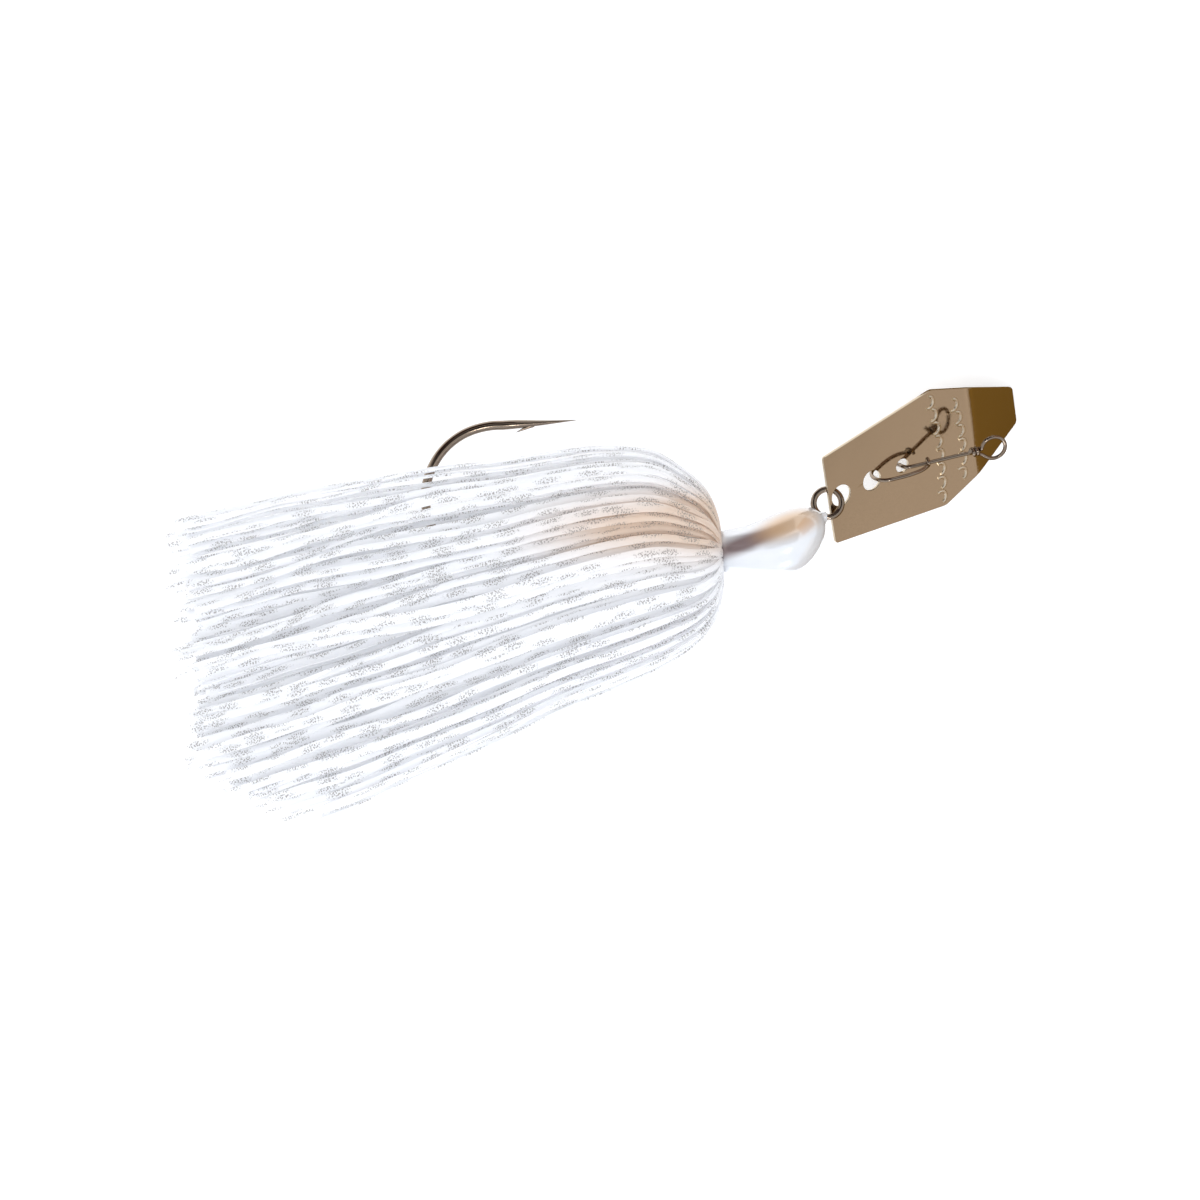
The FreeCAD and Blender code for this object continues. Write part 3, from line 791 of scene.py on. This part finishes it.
blade.modifiers["Bevel"].width = EDGE_ROUND * MM
blade.modifiers["Bevel"].segments = 2
blade.modifiers["Bevel"].limit_method = "ANGLE"
blade.modifiers["Bevel"].angle_limit = math.radians(50)
bpy.ops.object.modifier_apply(modifier="Bevel")


def fold_blade(point):
    """Bends a flat point down past the fold, round a small radius."""
    u = point.x / MM
    start = FOLD_U - FOLD_RADIUS
    if u <= start:
        return point
    share = min(1.0, (u - start) / (2 * FOLD_RADIUS))
    angle = math.radians(FOLD_DEG) * share
    arc = 2 * FOLD_RADIUS / math.radians(FOLD_DEG)
    bent_u = start + arc * math.sin(angle)
    bent_z = -arc * (1 - math.cos(angle))
    past = max(0.0, u - start - 2 * FOLD_RADIUS)
    bent_u += past * math.cos(angle)
    bent_z -= past * math.sin(angle)
    z = point.z / MM
    return Vector((bent_u + z * math.sin(angle), point.y / MM, bent_z + z * math.cos(angle))) * MM


def scale_mark(u, v, turn):
    """One raised crescent, like a fish scale, on the blade's upper face."""
    clear_selection()
    bpy.ops.mesh.primitive_torus_add(major_radius=MARK_RADIUS * MM, minor_radius=MARK_WIRE * MM,
                                     major_segments=20, minor_segments=8, location=(0, 0, 0))
    mark = bpy.context.object
    bpy.ops.object.mode_set(mode="EDIT")
    bpy.ops.mesh.select_all(action="SELECT")
    bpy.ops.mesh.bisect(plane_co=(0, 0, 0), plane_no=(1, 0, 0), clear_inner=True, use_fill=True)
    bpy.ops.object.mode_set(mode="OBJECT")
    mark.scale = (1.15, 1.05, 0.95)
    mark.rotation_euler = (0, 0, turn)
    mark.location = (u * MM, v * MM, BLADE_THICK / 2 * MM)
    apply_place()
    bpy.ops.object.shade_smooth_by_angle(angle=math.radians(60))
    paint(mark, marks_painted_highlight)
    return mark


# Bright nickel plate over polished steel: a warm mirror with hair scratches from handling.
# The marks are painted paler, a painted highlight on their raised sides, and are left
# rougher and less sharp by the die.
nickel, tree, shader = new_material("polished_nickel_plate", "C8B8A0", 1, 0.05)
place = add_node(tree, "ShaderNodeTexCoord")
wear_map = add_node(tree, "ShaderNodeMapping", links={"Vector": place.outputs["Object"]},
                    Rotation=(0, 0, 0.5), Scale=(1 / (6 * MM), 1 / (0.25 * MM), 1 / (0.25 * MM)))
scratches = add_node(tree, "ShaderNodeTexNoise", links={"Vector": wear_map.outputs["Vector"]},
                     Scale=1, Detail=4)
gloss = add_node(tree, "ShaderNodeMapRange", links={"Value": scratches.outputs["Fac"]},
                 From_Min=0.35, From_Max=0.75, To_Min=0.03, To_Max=0.16)
tree.links.new(gloss.outputs["Result"], shader.inputs["Roughness"])
ripple = add_node(tree, "ShaderNodeTexNoise", links={"Vector": place.outputs["Object"]},
                  Scale=1 / (9 * MM), Detail=1)
ripple_bump = add_node(tree, "ShaderNodeBump", links={"Height": ripple.outputs["Fac"]},
                       Strength=0.25, Distance=0.0001)
tree.links.new(ripple_bump.outputs["Normal"], shader.inputs["Normal"])
# the marks' pale colour is a painted highlight
marks_painted_highlight, tree, shader = new_material("nickel_marks_painted_highlight", "EADCC6", 1, 0.30)
place = add_node(tree, "ShaderNodeTexCoord")
burr = add_node(tree, "ShaderNodeTexNoise", links={"Vector": place.outputs["Object"]},
                Scale=1 / (0.4 * MM), Detail=2)
burr_gloss = add_node(tree, "ShaderNodeMapRange", links={"Value": burr.outputs["Fac"]},
                      To_Min=0.18, To_Max=0.42)
tree.links.new(burr_gloss.outputs["Result"], shader.inputs["Roughness"])
paint(blade, nickel)

marks = []
for row_u, half, count in MARK_ROWS:
    for k in range(count):
        v = -half + 2 * half * k / (count - 1)
        bow = MARK_BOW * (1 - (v / half) ** 2)
        marks.append(scale_mark(row_u + bow, v, -MARK_FAN * v / half))
clear_selection()
blade = joined("folded_blade", [blade] + marks)
for v in blade.data.vertices:
    v.co = BLADE_PLACE @ fold_blade(v.co)
bpy.ops.object.shade_smooth_by_angle(angle=math.radians(40))
bpy.ops.object.modifier_add(type="WEIGHTED_NORMAL")
blade.modifiers["WeightedNormal"].keep_sharp = True
bpy.ops.object.modifier_apply(modifier="WeightedNormal")
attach(blade, "blade")
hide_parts("blade")

# ---- Snap --------------------------------------------------------------------------------
# One length of hard-drawn spring wire, bent cold: a line ring, a wrapped neck, a straight
# spine and a rounded end that hooks through the blade's two middle holes. Its free arm
# springs back over the end and clasps the spine.
snap_centre = Vector(snap_joint["pos_m"])
SNAP_TILT = math.radians(22.9)
SNAP_S = BLADE_ALONG * math.cos(SNAP_TILT) + BLADE_NORMAL * math.sin(SNAP_TILT)
SNAP_T = BLADE_NORMAL * math.cos(SNAP_TILT) - BLADE_ALONG * math.sin(SNAP_TILT)
SNAP_WIRE = 0.30
END_RADIUS = 2.5
SPINE_T = 0.10
NECK_S = 14.6
RING_RADIUS = 1.85
LATCH_ROOT_S = 0.9
LATCH_S = 6.3
RING_START_DEG = 215
RING_STEP_DEG = 27
WRAP_RADIUS = 0.56
WRAP_STEP_DEG = 45
WRAP_PITCH = 0.075                               # mm along the spine for each step
CLASP_RADIUS = 2 * SNAP_WIRE + 0.05
CLASP_STEP_DEG = 28


def on_snap(s, t, w=0.0):
    """A point from millimetres along, above and across the snap."""
    return snap_centre + (SNAP_S * s + SNAP_T * t + BLADE_ACROSS * w) * MM


def turn_points(radius, start, end, count):
    """Points round the snap's rounded end, in its own plane."""
    return [on_snap(radius * math.cos(math.radians(start + (end - start) * k / count)),
                    radius * math.sin(math.radians(start + (end - start) * k / count)))
            for k in range(count + 1)]


snap_line = [on_snap(LATCH_ROOT_S, END_RADIUS), on_snap(0.4, END_RADIUS)]
snap_line += turn_points(END_RADIUS * 1.02, 92, 330, 12)
snap_line += [on_snap(2.55, -0.55), on_snap(2.95, -0.05), on_snap(3.6, SPINE_T), on_snap(5, SPINE_T),
              on_snap(8, SPINE_T), on_snap(11, SPINE_T), on_snap(14, SPINE_T)]
ring_s = NECK_S + RING_RADIUS + 0.25
ring_reach = widened(RING_RADIUS, RING_STEP_DEG)
for k in range(0, 13):
    a = math.radians(RING_START_DEG + k * RING_STEP_DEG)
    snap_line.append(on_snap(ring_s + ring_reach * math.cos(a), SPINE_T + 0.02 * k,
                             ring_reach * math.sin(a)))
for k in range(0, 19):
    a = math.radians(150 + k * WRAP_STEP_DEG)
    snap_line.append(on_snap(NECK_S - 0.1 - k * WRAP_PITCH, SPINE_T + WRAP_RADIUS * math.cos(a),
                             WRAP_RADIUS * math.sin(a)))
snap_line.append(on_snap(NECK_S - 1.75, SPINE_T + 0.95, 0.75))
snap_wire = wire_piece("snap_wire_form", snap_line, [SNAP_WIRE] * len(snap_line))
latch_line = [on_snap(LATCH_ROOT_S - 0.1, END_RADIUS), on_snap(2.0, END_RADIUS),
              on_snap(3.6, END_RADIUS - 0.15), on_snap(5.2, 1.85), on_snap(6.0, 1.1)]
for k in range(0, 8):
    a = math.radians(-8 + k * CLASP_STEP_DEG)
    latch_line.append(on_snap(LATCH_S + 0.02 * k, SPINE_T + CLASP_RADIUS * math.cos(a),
                              CLASP_RADIUS * math.sin(a)))
latch = wire_piece("snap_latch_arm", latch_line, [SNAP_WIRE] * len(latch_line))
for piece, node in ((snap_wire, "snap_wire"), (latch, "snap_latch")):
    paint(piece, black_nickel)
    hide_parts(node)
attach(snap_wire, "snap")
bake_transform(latch)
